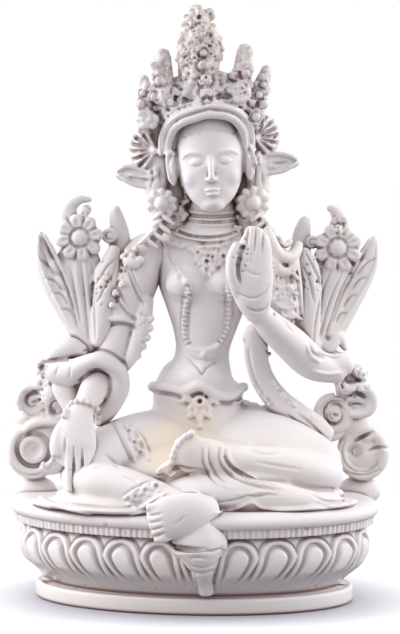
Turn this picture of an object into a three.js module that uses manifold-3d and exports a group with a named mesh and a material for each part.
// A seated Tara on a lotus seat, cast in one piece with its plinth in unpainted white stone resin.
// Millimetres, +Z up, the figure faces -Y. The origin is the middle of the plinth's flat underside.
import * as THREE from "three";
import { mergeVertices } from "three/addons/utils/BufferGeometryUtils.js";
import Module from "manifold-3d";

const wasm = await Module();
wasm.setup();

// Plinth: an oval plate under everything, turned a little against the figure as the casting is.
const plinthWidth = 81;
const plinthDepth = 48;
const plinthHeight = 4.2;
const plinthEdge = 0.8; // rounding of the plate's rim
const baseTurn = -8; // degrees

// Lotus bowl on the plinth: petals stand round it, each with a boss in a raised arch.
const bowlWidth = 89;
const bowlDepth = 59;
const bowlHeight = 15.5;
const bowlFootInset = 7; // how far the bowl's foot stands in from its widest line
const petalCount = 24;
const petalRelief = 1.2;

// Seat on the bowl: a fluted rim under a rounded cushion.
const seatWidth = 94;
const seatDepth = 63;
const cushionHeight = 4;
const rimHeight = 2.3;
const rimInset = 1.2;
const fluteRelief = 0.7;

// Small lotus that carries the forward foot, with a stalk that stands on the plinth.
const footLotusWidth = 16;
const footLotusReach = 6.4; // how far it stands out past the bowl's front
const footLotusHeight = 6;
const stalkWidth = 5.4;

// Figure, from the seat's top to the tip of the crown. Its pose and carving are shares of this height.
const figureHeight = 124;

const castingColour = 0xe6e1df;
const castingRoughness = 0.72;

const bowlTop = plinthHeight + bowlHeight;
const seatTop = bowlTop + rimHeight + cushionHeight;
const share = figureHeight / 124; // the pose below is written for a figure 124 high

const turned = (degrees) => THREE.MathUtils.degToRad(degrees);
const backward = new THREE.Vector3(0, 1, 0);
const upward = new THREE.Vector3(0, 0, 1);

// A closed geometry as a solid, whichever way round its faces were made.
function solidOf(geometry) {
  geometry.deleteAttribute("normal");
  geometry.deleteAttribute("uv");
  const merged = mergeVertices(geometry, 1e-4);
  const vertProperties = new Float32Array(merged.attributes.position.array);
  const triVerts = new Uint32Array(merged.index.array);
  const made = new wasm.Manifold(new wasm.Mesh({ numProp: 3, vertProperties, triVerts }));
  if (made.volume() > 0) return made;
  triVerts.reverse();
  return new wasm.Manifold(new wasm.Mesh({ numProp: 3, vertProperties, triVerts }));
}

// A rounded form along rings of [x, y, z, half width, half depth]: a sphere's rows of points are moved
// onto the rings, and its poles close the two ends. The depth lies along depthAxis, and carve(column,
// row) scales the reach of single points.
function loft(rings, { sides = 8, steps = rings.length - 1, depthAxis = backward, swell = 0.35, carve } = {}) {
  const line = new THREE.CatmullRomCurve3(rings.map(([x, y, z]) => new THREE.Vector3(x, y, z)));
  const size = new THREE.CatmullRomCurve3(rings.map(([, , , w, d = w]) => new THREE.Vector3(w, d, 0)));
  const geometry = new THREE.SphereGeometry(1, sides, steps + 2);
  const point = geometry.attributes.position;
  for (let row = 0; row <= steps + 2; row++) {
    const at = Math.min(Math.max((row - 1) / steps, 0), 1);
    const centre = line.getPoint(at);
    const half = size.getPoint(at);
    const along = line.getTangent(at);
    const depth = depthAxis.clone().addScaledVector(along, -depthAxis.dot(along)).normalize();
    const width = depth.clone().cross(along);
    const isPole = row === 0 || row === steps + 2;
    if (isPole) centre.addScaledVector(along, (row === 0 ? -1 : 1) * swell * Math.min(half.x, half.y));
    for (let i = 0; i <= sides; i++) {
      const angle = (i / sides) * 2 * Math.PI;
      const reach = isPole ? 0 : carve ? carve(i % sides, row - 1) : 1;
      const moved = centre
        .clone()
        .addScaledVector(width, reach * half.x * Math.cos(angle))
        .addScaledVector(depth, reach * half.y * Math.sin(angle));
      point.setXYZ(row * (sides + 1) + i, moved.x, moved.y, moved.z);
    }
  }
  return geometry;
}

// A leaf, band or bow end: a loft of four sides, so that it has a ridge along its middle.
const leaf = (rings, options) => loft(rings, { sides: 4, ...options });

// A string of beads or a plait along points, thick and thin by turns.
function rope(points, radius, beads, options) {
  const path = new THREE.CatmullRomCurve3(points.map((place) => new THREE.Vector3(...place)));
  const rings = path.getSpacedPoints(2 * beads).map(({ x, y, z }, i) => [x, y, z, radius * (i % 2 ? 1 : 0.6)]);
  return loft(rings, { sides: 5, ...options });
}

// An egg at a place, with its half sizes, leaned in the picture plane by lean degrees.
function egg(x, y, z, rx, ry, rz, { lean = 0, sides = 8, rows = 4 } = {}) {
  return new THREE.SphereGeometry(1, sides, rows)
    .rotateX(Math.PI / 2)
    .scale(rx, ry, rz)
    .rotateY(turned(lean))
    .translate(x, y, z);
}

const bead = (x, y, z, radius) => egg(x, y, z, radius, radius, radius, { sides: 6, rows: 3 });

// A flower seen from the front: one plate with a petalled edge, and a boss on its middle.
function rosette(x, y, z, radius, petals, { thickness = 2.4, turn = 0 } = {}) {
  const outline = new THREE.Shape();
  const edge = [
    [0, 0.68],
    [0.24, 1],
    [0.76, 1],
  ];
  for (let petal = 0; petal < petals; petal++) {
    for (const [turnShare, reach] of edge) {
      const angle = turned(turn) + ((petal + turnShare) / petals) * 2 * Math.PI;
      const place = [radius * reach * Math.cos(angle), radius * reach * Math.sin(angle)];
      if (petal + turnShare === 0) outline.moveTo(...place);
      else outline.lineTo(...place);
    }
  }
  const plate = new THREE.ExtrudeGeometry(outline, { depth: thickness, bevelEnabled: false });
  return [
    plate.rotateX(Math.PI / 2).translate(x, y + thickness / 2, z),
    egg(x, y - thickness / 2, z, radius * 0.36, 1.2, radius * 0.36, { sides: 6, rows: 3 }),
  ];
}

// A scroll's rolled end, facing forward: a thick disc with a groove round it and a hollow eye.
function scroll(x, y, z, halfWidth, halfHeight, thickness, sides = 7) {
  const profile = [
    [0, 0.5],
    [0.86, 0.5],
    [1, 0],
    [0.84, -0.5],
    [0.5, -0.5],
    [0.3, -0.16],
    [0, -0.16],
  ].map(([r, t]) => new THREE.Vector2(r, t));
  return new THREE.LatheGeometry(profile, sides).scale(halfWidth, thickness, halfHeight).translate(x, y, z);
}

function plinth() {
  const ring = (z, inset) => [0, 0, z, plinthWidth / 2 - inset, plinthDepth / 2 - inset];
  return [
    loft(
      [
        ring(0, 0),
        ring(plinthHeight - plinthEdge, 0),
        ring(plinthHeight, plinthEdge),
      ],
      { sides: 28, swell: 0 },
    ),
  ];
}

// The bowl and the fluted rim, as one turned form. Each petal takes four columns of points: the valley
// beside it, its two shoulders and its middle line, which rises to a boss and again to the arch.
function lotusBowl() {
  const columns = 4 * petalCount;
  const petalled = (at, inset, valley, shoulder, middle) => ({
    z: plinthHeight + at * bowlHeight,
    halfWidth: bowlWidth / 2 - petalRelief - inset,
    halfDepth: bowlDepth / 2 - petalRelief - inset,
    relief: [valley, shoulder, middle, shoulder].map((reach) => reach * petalRelief),
  });
  const fluted = (z, inset) => ({
    z,
    halfWidth: seatWidth / 2 - inset,
    halfDepth: seatDepth / 2 - inset,
    relief: [-fluteRelief, 0, -fluteRelief, 0],
  });
  const levels = [
    { ...petalled(0, bowlFootInset, 0, 0, 0), z: plinthHeight / 2 },
    petalled(0.24, bowlFootInset * 0.34, 0, 0.3, 0.6),
    petalled(0.62, 0, 0, 1, 1.2),
    petalled(0.86, 0.4, 0, 0.9, 0.4),
    petalled(0.96, 1, 0, 0, 0.9),
    fluted(bowlTop + 0.3, rimInset),
    fluted(bowlTop + rimHeight, rimInset - 0.2),
  ];
  const edge = new THREE.EllipseCurve(0, 0, bowlWidth / 2, bowlDepth / 2, 0, 2 * Math.PI);
  const places = edge.getSpacedPoints(columns);
  const geometry = new THREE.SphereGeometry(1, columns, levels.length + 1);
  const point = geometry.attributes.position;
  for (let row = 0; row <= levels.length + 1; row++) {
    const isPole = row === 0 || row === levels.length + 1;
    const level = levels[Math.min(Math.max(row - 1, 0), levels.length - 1)];
    places.forEach((place, column) => {
      const along = new THREE.Vector2(place.x / (bowlWidth / 2), place.y / (bowlDepth / 2));
      const outward = new THREE.Vector2(along.x / bowlWidth, along.y / bowlDepth).normalize();
      const relief = level.relief[column % 4];
      const x = isPole ? 0 : along.x * level.halfWidth + outward.x * relief;
      const y = isPole ? 0 : along.y * level.halfDepth + outward.y * relief;
      point.setXYZ(row * (columns + 1) + column, x, y, level.z);
    });
  }
  // Half of each petal's squares are split along the other diagonal, so that its two sides mirror.
  const corners = geometry.index.array;
  for (let square = 0; square < (levels.length - 1) * columns; square++) {
    if (square % 4 > 1) continue;
    const first = 3 * columns + 6 * square;
    const [a, b, d, , c] = corners.slice(first, first + 5);
    corners.set([a, b, c, a, c, d], first);
  }
  return [geometry];
}

function cushion() {
  const ring = (z, inset) => [0, 0, z, seatWidth / 2 - inset, seatDepth / 2 - inset];
  const underside = bowlTop + rimHeight;
  return [
    loft(
      [
        ring(underside - rimHeight / 2, rimInset + fluteRelief + 1),
        ring(underside + cushionHeight * 0.4, 0),
        ring(underside + cushionHeight * 0.8, 1),
        ring(seatTop, 5),
      ],
      { sides: 28, swell: 0 },
    ),
  ];
}

// The forward foot's lotus: a cushion at the seat's front, a cup of sepals and a stalk down to the plinth.
function footLotus() {
  const x = 1.6 * share;
  const front = -bowlDepth / 2;
  const half = footLotusWidth / 2;
  const top = bowlTop + rimHeight + cushionHeight * 0.2;
  const waist = top - footLotusHeight;
  return [
    loft(
      [
        [x, front + 1, waist, half * 0.86, footLotusReach * 0.7],
        [x, front, waist + footLotusHeight * 0.3, half, footLotusReach],
        [x, front, waist + footLotusHeight * 0.7, half, footLotusReach],
        [x, front + 1, top, half * 0.76, footLotusReach * 0.7],
      ],
      { sides: 10, swell: 0.05 },
    ),
    loft(
      [
        [x + 0.3, -plinthDepth / 2 + 1.4, plinthHeight / 2, stalkWidth * 0.62, 2.4],
        [x + 0.3, -plinthDepth / 2 - 0.4, plinthHeight + bowlHeight * 0.24, stalkWidth * 0.44, 2.2],
        [x, front + 1.6, plinthHeight + bowlHeight * 0.42, half * 0.48, 3.4],
        [x, front + 0.8, waist + 0.4, half * 0.96, footLotusReach * 0.84],
      ],
      { sides: 8, swell: 0 },
    ),
  ];
}

// From here on, points are in the pose's own millimetres, with z counted from the seat's top.
function torso() {
  return [
    loft(
      [
        [1.5, 4, -1.5, 15, 11],
        [1.2, 2.8, 24, 11.2, 8.6],
        [1.2, 2.4, 26.6, 11.9, 9.4],
        [1.4, 2.4, 28.4, 10.4, 8],
        [2, 2.2, 32.5, 7.4, 6.4],
        [2.2, 2, 36.5, 6.5, 5.8],
        [2.6, 1.8, 44, 8.2, 6.2],
        [3.1, 2, 52, 10.4, 7.4],
        [3, 2.4, 59, 12.2, 6.6],
        [2.9, 0.8, 65, 10.6, 6.8],
        [3, 0.2, 66.8, 9.4, 6.4],
        [3, 0, 67.8, 5.6, 5],
        [3.1, -0.6, 73.5, 4.8, 4.6],
      ],
      { sides: 9 },
    ),
    egg(-2.4, -3.8, 53.8, 5.3, 5, 5, { sides: 7 }),
    egg(7.8, -3.8, 53.8, 5.3, 5, 5, { sides: 7 }),
    ...rosette(1.7, -7.4, 24.4, 2.3, 5, { thickness: 2.6, turn: 90 }),
    leaf([[1.8, -7, 23, 2.6, 1.8], [1.8, -7.6, 20.4, 2, 1.6], [1.9, -8, 18, 0.8, 0.8]]),
  ];
}

function legs() {
  const limb = (rings) => loft(rings, { sides: 7, depthAxis: upward });
  return [
    limb([
      [-3, 3, 14, 9, 8.4],
      [-13, -3, 13.6, 8.4, 7.6],
      [-21, -9, 11.6, 7.4, 7],
      [-27.4, -14, 8.2, 5.6, 5.4],
      [-30, -16, 6.6, 3.2, 3.2],
    ]),
    limb([
      [-28.6, -16, 5.8, 4.6, 4.6],
      [-23, -18.6, 6, 5.6, 5.2],
      [-16.6, -21.8, 5.6, 4.8, 4.6],
      [-10.6, -25.2, 4.4, 3.8, 3.8],
      [-5, -28, 2.4, 3.4, 3.6],
    ]),
    limb([
      [7, 3, 14, 9, 8.4],
      [18, -2, 13.8, 8.8, 7.8],
      [27, -6.5, 11, 7.8, 7],
      [32.6, -9.5, 8.6, 5.6, 5.6],
      [34.6, -10.4, 7.6, 3.4, 3.4],
    ]),
    limb([
      [33.4, -11.6, 7.2, 4.6, 4],
      [29, -14.4, 8.6, 5.6, 4.6],
      [21, -17.6, 10, 5, 4.4],
      [12.6, -20, 11.6, 4, 3.8],
      [5, -21.6, 12.2, 3.4, 3.6],
    ]),
    egg(2, -8, 7.4, 22, 13, 8.4, { sides: 7, rows: 3 }),
    egg(4, -20.6, 4.2, 11, 7, 5.4, { lean: 6, sides: 7 }),
  ];
}

function feet() {
  const sole = (rings) => loft(rings, { sides: 7, depthAxis: upward });
  const made = [
    sole([
      [4.6, -29.2, 0, 3, 3.8],
      [0.4, -30.4, -0.6, 3, 5],
      [-4.6, -31, -1.4, 2.6, 5.2],
      [-9.4, -31.2, -2.2, 2, 5],
    ]),
    sole([
      [5, -21.6, 12.2, 2.8, 3.2],
      [0.6, -21.8, 12.2, 2.6, 4.2],
      [-4.6, -22, 11.6, 2.2, 5.2],
    ]),
  ];
  const toes = (from, to) => rope([from, to], 2, 5, { sides: 4, depthAxis: backward });
  made.push(toes([-10.8, -31.4, 3], [-9.8, -31.4, -6.8]));
  made.push(toes([-2.8, -22.2, 17], [-8.4, -22.2, 7.4]));
  return made;
}

// The skirt's hem spread on the seat in front of the crossed legs.
function hem() {
  const thickness = 1.6;
  const sink = 1.5;
  const sheet = (outline) => {
    const curve = new THREE.SplineCurve(outline.map(([x, y]) => new THREE.Vector2(x, y)));
    const shape = new THREE.Shape(curve.getPoints(outline.length + 4));
    const plate = new THREE.ExtrudeGeometry(shape, { depth: thickness + sink, bevelEnabled: false });
    return plate.translate(0, 0, -sink);
  };
  return [
    sheet([[4, -25], [10, -26.5], [14, -22.6], [20, -24.5], [30, -24.5], [38, -18], [36, -9], [6, -10]]),
    sheet([[-10, -27], [-22, -26.5], [-33, -21.5], [-38.4, -13.5], [-34, -7], [-8, -14]]),
  ];
}

function rightArm() {
  const made = [
    loft(
      [
        [-9.6, 2.6, 61, 5.2, 5.2],
        [-15, 2, 57, 6.6, 6.2],
        [-17, 1.2, 46.6, 6.4, 5.8],
        [-17.2, 1, 44.6, 4.9, 4.8],
        [-19.4, -1, 36.6, 4.3, 4.2],
        [-22.8, -5.6, 30.2, 3.5, 3.3],
        [-26.9, -11.4, 24.6, 2.7, 2.4],
      ],
      { sides: 7 },
    ),
    loft(
      [
        [-27.2, -12, 24, 3, 2.2],
        [-28.2, -15.2, 20, 4.6, 2.5],
        [-28.8, -17.2, 15.4, 5.2, 2.4],
        [-28.4, -17.8, 10.2, 4.2, 2.6],
      ],
      { sides: 6 },
    ),
    leaf([[-31.6, -15.4, 17.6, 2.2], [-34.2, -17.2, 13.2, 1.8], [-35.4, -18.4, 9.4, 1.2]]),
  ];
  for (let finger = 0; finger < 3; finger++) {
    const x = -29.8 + finger * 2.2;
    made.push(leaf([[x, -18.2, 13.4, 1.4], [x, -19.4, 9, 1.4], [x + 0.2, -20.6, 4, 1]]));
  }
  return made;
}

function leftArm() {
  return [
    loft(
      [
        [14.6, 2.8, 61, 5.2, 5.2],
        [20, 2.6, 57.4, 6.4, 6],
        [24.6, 1.6, 49, 6.8, 6],
        [28.6, 0.2, 40, 6.2, 5.2],
        [33, -1.2, 31.6, 4.2, 4],
      ],
      { sides: 7 },
    ),
    loft(
      [
        [34, -1.8, 30.2, 3.8],
        [29.6, -4.2, 34, 4.5],
        [24, -7.6, 39, 4.4],
        [18.8, -11.6, 44.2, 3.6],
        [15.6, -14.4, 48.4, 3],
      ],
      { sides: 7, depthAxis: upward },
    ),
    loft(
      [
        [15.4, -14.6, 47.4, 3, 2.4],
        [14.6, -16, 52, 4.6, 2.8],
        [14.2, -16.8, 57, 5, 2.6],
        [15, -17, 62.6, 4.4, 2.2],
        [15.4, -17, 66.6, 2.8, 1.6],
      ],
      { sides: 7 },
    ),
    loft([[10.8, -17, 53.6, 1.7], [9.8, -18.2, 57.6, 1.4], [10.8, -18.4, 62, 1.2]], { sides: 5 }),
  ];
}

// The scarf: its loop and puffed folds on the lowered arm, and its band and folds at the raised arm.
function scarves() {
  return [
    loft(
      [
        [-31, -6, 32.6, 2.4, 3],
        [-28.4, -8.4, 34.6, 2.2],
        [-23.2, -9.6, 36.4, 2.1],
        [-18.2, -7.6, 33.4, 2.2],
        [-17.2, -5.6, 27.6, 2.2],
        [-20.6, -4.8, 21.8, 1.9],
      ],
      { sides: 5 },
    ),
    egg(-33.4, -3, 33.4, 5.2, 4, 4.6, { lean: -20, sides: 7 }),
    loft([[-33.4, -3, 33, 4.4, 3], [-31.4, -4, 27, 4.6, 2.6], [-28.6, -4, 22, 3, 2]], { sides: 6 }),
    leaf(
      [
        [14.8, -11, 44.6, 2.6, 2],
        [15.2, -5.4, 38, 2.7, 1.9],
        [16.4, -2, 31.6, 2.8, 1.8],
        [19, 0, 26.8, 2.8, 1.8],
        [24, 1, 22.4, 3, 1.8],
        [30.6, 0.4, 16.6, 3.4, 2],
      ],
      { sides: 5 },
    ),
    egg(35, -1.6, 32.4, 5.2, 4.4, 4, { lean: 12, sides: 7 }),
  ];
}

// Scroll clouds beside the knees: a big disc on the seat under a cluster of curls.
function scrolls() {
  return [
    scroll(-41.6, 7.4, 10.4, 7.3, 8.1, 6.4, 10),
    scroll(43.6, 7.4, 9.8, 7.1, 8.1, 6.4, 10),
    scroll(-41.6, 5, 24, 4.3, 4.6, 5),
    scroll(-36, 4.4, 19.8, 4.4, 4.8, 6),
    scroll(43.6, 5, 24, 4.2, 4.6, 5),
    scroll(37.6, 4.4, 19.6, 5, 5.6, 6),
    egg(-37.6, 2, 28.4, 4.6, 3.6, 4.8, { sides: 6 }),
    egg(38.8, 2, 28, 4.8, 3.6, 4.8, { sides: 6 }),
    egg(-40.4, 8.4, 1.4, 6, 4.6, 3.6, { sides: 6, rows: 3 }),
    egg(42.2, 8.4, 1.4, 6, 4.6, 3.6, { sides: 6, rows: 3 }),
  ];
}

// Lotus spray beside each shoulder: a fan of leaves, a stem, a blossom, a curled bud and a small sepal.
function rightSpray() {
  return [
    leaf([[-25.6, 1, 38, 3, 2], [-27, 1, 49, 6.2, 1.8], [-28, 1, 60, 6, 1.6], [-28.4, 1, 66, 3, 1.2]]),
    leaf([[-26.6, -1, 39.6, 2.2, 1.6], [-30.6, 0, 48, 3, 1.6], [-35, 0, 57, 3.6, 1.4], [-39, 0, 66.6, 1.2, 1]]),
    leaf([[-25, -0.6, 42, 1.8, 1.6], [-23, 0, 52, 2.6, 1.6], [-19.8, 0.4, 64.6, 2, 1.4]]),
    leaf([[-26.2, -1.8, 39.6, 1.8, 1.6], [-27.8, -1.8, 60, 2.2, 1.6]]),
    ...rosette(-28.4, -1.6, 65.8, 5.4, 7, { turn: 90 }),
    leaf([[-31, 0.4, 68, 2.4, 1.6], [-31.2, 0.4, 72, 2, 1.4], [-29.4, 0.2, 74.4, 1.4, 1.1], [-26, 0, 74.8, 0.6, 0.6]], {
      sides: 5,
    }),
    bead(-20.8, -0.2, 65.6, 1.9),
    leaf([[-17, 2.4, 60, 3, 1.6], [-18, 2.2, 68, 2.6, 1.5], [-18.8, 2, 72.6, 1.2, 1]]),
  ];
}

function leftSpray() {
  return [
    leaf([[30.4, 1, 34, 3, 2], [33, 1, 46, 6, 1.8], [35, 1, 57, 6, 1.6], [36, 1, 63, 3, 1.2]]),
    leaf([[31.6, -1, 36, 2.2, 1.6], [36, 0, 45, 3, 1.6], [41, 0, 54.6, 3.6, 1.4], [45.4, 0, 64.6, 1.2, 1]]),
    leaf([[31, -0.6, 39, 1.8, 1.6], [29.4, 0, 50, 2.6, 1.6], [28, 0.4, 62.8, 2, 1.4]]),
    leaf([[31.8, -1.8, 36, 1.8, 1.6], [35.4, -1.8, 57, 2.2, 1.6]]),
    ...rosette(36.2, -1.6, 63.3, 5.2, 7, { turn: 84 }),
    leaf([[36.6, 0.4, 65.6, 2.6, 1.6], [37.6, 0.4, 69.4, 2.2, 1.4], [36.4, 0.2, 71.8, 1.6, 1.1], [34, 0, 72.8, 0.7, 0.6]], {
      sides: 5,
    }),
    bead(29, -0.2, 63.8, 1.9),
    leaf([[25.6, 2.4, 58, 3, 1.6], [27.6, 2.2, 66, 2.6, 1.5], [29, 2, 70.4, 1.2, 1]]),
  ];
}

// Plaits from the earrings over the shoulders, a knot on each, and the swag behind.
function shoulderLocks() {
  return [
    rope([[-9.2, -2, 72], [-10.6, -2.4, 68.6], [-12, -3, 65.6], [-11.4, -3.4, 62.6]], 1.8, 4, { sides: 4 }),
    rope([[17, -2, 72], [19.4, -2.8, 67], [22.4, -4, 62], [25.6, -4.2, 60.4], [28, -3, 62.6]], 1.8, 6, { sides: 4 }),
    egg(-17.4, -3.6, 61, 3, 2.4, 3, { sides: 6, rows: 3 }),
    egg(23.8, -4, 57.4, 2.8, 2.2, 3, { sides: 6, rows: 3 }),
    leaf([[-15, 5, 61, 3, 2.4], [-6, 8, 57, 3, 2], [3, 9, 55, 3, 2], [12, 8, 57, 3, 2], [20, 5.4, 60.6, 3, 2.4]]),
    loft([[2.8, 6.4, 48, 4, 2.4], [2.8, 7, 58, 6.4, 3.2], [2.9, 5.6, 67, 7, 4.4], [3, 2.6, 75, 6.6, 5]], { sides: 6 }),
  ];
}

// The breast ornament, and the long chain that hangs to the navel.
function necklaces() {
  return [
    leaf([[3.2, -5, 63.6, 5.6, 1.6], [3.3, -5.6, 60.4, 3.2, 1.4], [3.4, -6, 57, 0.8, 0.8]]),
    leaf(
      [
        [-5, -5, 63],
        [-2.6, -8.6, 56],
        [-2, -7.6, 49.6],
        [-1.8, -5, 42],
        [2.6, -4.8, 37],
        [7.6, -5, 42],
        [8, -7.6, 49.6],
        [8.4, -8.6, 55],
      ].map((place) => [...place, 0.9]),
    ),
    egg(2.6, -5, 36.2, 2.4, 1.4, 1.4, { sides: 5, rows: 3 }),
  ];
}

// The head leans a little: its own frame has its origin at the top of the neck.
const headPlace = new THREE.Vector3(3.3, -3, 72);
const headLean = -4.6; // degrees
const headMiddle = 1.7; // the middle of the crown in the head's frame

function head() {
  const made = [
    loft(
      [
        [1, -5.8, 1.4, 2.4, 2],
        [1.1, -4.8, 3.6, 4.6, 4],
        [1.3, -3, 8, 6.8, 6.6],
        [1.6, -1.8, 13, 8, 8],
        [1.8, -1, 18, 8.2, 8.6],
        [1.9, -0.2, 24, 7.8, 8.2],
      ],
      { sides: 10 },
    ),
    loft([[1.5, -9.4, 13.4, 0.8, 1], [1.4, -10.4, 10, 1.1, 1.2], [1.4, -9.6, 8.2, 1.2, 1]], { sides: 5 }),
    egg(1.3, -8.4, 5.6, 1.7, 0.9, 0.8, { sides: 6, rows: 3 }),
    loft([[headMiddle, 2.6, 2, 6.8, 4.4], [headMiddle, 2, 14, 9.6, 7], [headMiddle, 1, 25, 9.4, 8]], { sides: 7 }),
  ];
  for (const side of [-1, 1]) {
    made.push(egg(1.5 + side * 3.5, -8.2, 12.2, 1.7, 0.9, 0.8, { sides: 5, rows: 3 }));
    made.push(egg(headMiddle + side * 9.6, -1.4, 12.4, 2, 1.8, 4.6, { lean: -side * 6, sides: 5 }));
    made.push(...rosette(1 + side * 12.2, -2.4, 2.6, 4.3, 7));
    made.push(egg(1 + side * 9.6, 0, 4.6, 3.4, 2.6, 4.6, { sides: 5 }));
    made.push(...rosette(1.2 + side * 13.4, 1.2, 16.6, 5, 5, { thickness: 2.8, turn: side < 0 ? -36 : 0 }));
    made.push(
      leaf([
        [1.2 + side * 11, 2, 8, 3.4, 2.2],
        [1.2 + side * 16, 1.8, 8.6, 2.6, 1.6],
        [1.2 + side * 20, 1.6, 10.4, 2.2, 1.4],
        [1.2 + side * 23, 1.4, 11, 0.8, 0.8],
      ]),
    );
  }
  return made;
}

// Crown: two bands arched over the brow, a wall of bosses that leans back, and five leaves.
function crown() {
  const wallMiddle = headMiddle - 0.6;
  const bossed = (column, row) => (row === 0 ? 1 : 0.94 + 0.12 * ((column + row) % 2));
  const made = [
    loft(
      [
        [wallMiddle, -2.6, 21, 12.4, 8.6],
        [wallMiddle, -1.6, 23.8, 14.4, 9.6],
        [wallMiddle, -0.4, 28, 14.8, 9.8],
        [wallMiddle, 0.8, 32, 12.2, 8.4],
      ],
      { sides: 14, swell: 0, carve: bossed },
    ),
    loft(
      [
        [headMiddle - 0.4, -2, 29, 5.6, 6],
        [headMiddle - 0.5, -3, 34, 5, 5],
        [headMiddle - 0.4, -2.6, 39, 5.6, 5],
        [headMiddle - 0.3, -1.6, 43, 4.6, 4.4],
        [headMiddle - 0.4, -0.8, 46, 3, 3.2],
        [headMiddle - 0.7, -0.2, 49.4, 2, 2],
      ],
      { sides: 7, swell: 1.2, carve: bossed },
    ),
    bead(headMiddle + 2.4, 0, 48.6, 1.4),
    ...rosette(headMiddle + 0.4, -11, 29.4, 3.2, 5, { turn: -90 }),
  ];
  for (const [halfSpan, rise, forward] of [
    [12, 25, 11],
    [9, 22.6, 10.2],
  ]) {
    const ends = rise * 0.62;
    const bandAt = (across, deep, high) => [headMiddle + halfSpan * across, deep, ends + (rise - ends) * high, 1.3];
    made.push(
      leaf([
        bandAt(-1, -2, 0),
        bandAt(-0.9, -5.6, 0.54),
        bandAt(-0.4, -forward, 0.97),
        bandAt(0.4, -forward, 0.97),
        bandAt(0.9, -5.6, 0.54),
        bandAt(1, -2, 0),
      ]),
    );
  }
  for (const side of [-1, 1]) {
    const near = headMiddle + 0.6 + side * 10.2;
    const far = headMiddle + side * 14.2;
    const farTip = far + 0.8 + side * 0.6;
    const leaves = [
      [[near, -7, 27, 3, 2.4], [near, -6, 33, 2.8, 2], [near, -5, 38, 1.8, 1.6], [near, -4.6, 40.4, 1.2, 1]],
      [[far, -3, 23, 2, 2.6], [far, -2.4, 29, 2, 2], [farTip, -2, 34, 1.1, 1]],
    ];
    made.push(...leaves.map((rings) => loft(rings, { sides: 5 })));
    made.push(bead(near - side * 0.6, -9, 28.4, 2.2));
  }
  return made;
}

const plainForms = [...plinth(), ...lotusBowl(), ...cushion()];
plainForms.forEach((form) => form.rotateZ(turned(baseTurn)));

const headForms = [...head(), ...crown()];
headForms.forEach((form) => form.rotateY(turned(headLean)).translate(headPlace.x, headPlace.y, headPlace.z));

const poseForms = [
  ...torso(),
  ...legs(),
  ...feet(),
  ...hem(),
  ...rightArm(),
  ...leftArm(),
  ...scarves(),
  ...scrolls(),
  ...rightSpray(),
  ...leftSpray(),
  ...shoulderLocks(),
  ...necklaces(),
  ...headForms,
];
poseForms.forEach((form) => form.scale(share, share, share).translate(0, 0, seatTop));

const casting = wasm.Manifold.union([...plainForms, ...footLotus(), ...poseForms].map(solidOf));

function meshOf(solid, name) {
  const { vertProperties, triVerts, numProp } = solid.getMesh();
  const points = new Float32Array((vertProperties.length / numProp) * 3);
  for (let i = 0; i < points.length / 3; i++) {
    points.set(vertProperties.subarray(i * numProp, i * numProp + 3), i * 3);
  }
  const geometry = new THREE.BufferGeometry();
  geometry.setAttribute("position", new THREE.BufferAttribute(points, 3));
  geometry.setIndex(new THREE.BufferAttribute(triVerts, 1));
  geometry.computeVertexNormals();
  const material = new THREE.MeshStandardMaterial({
    color: castingColour,
    roughness: castingRoughness,
    metalness: 0,
    flatShading: true,
  });
  const mesh = new THREE.Mesh(geometry, material);
  mesh.name = name;
  return mesh;
}

const taraFigure = new THREE.Group();
taraFigure.add(meshOf(casting, "tara_figure"));

export default taraFigure;
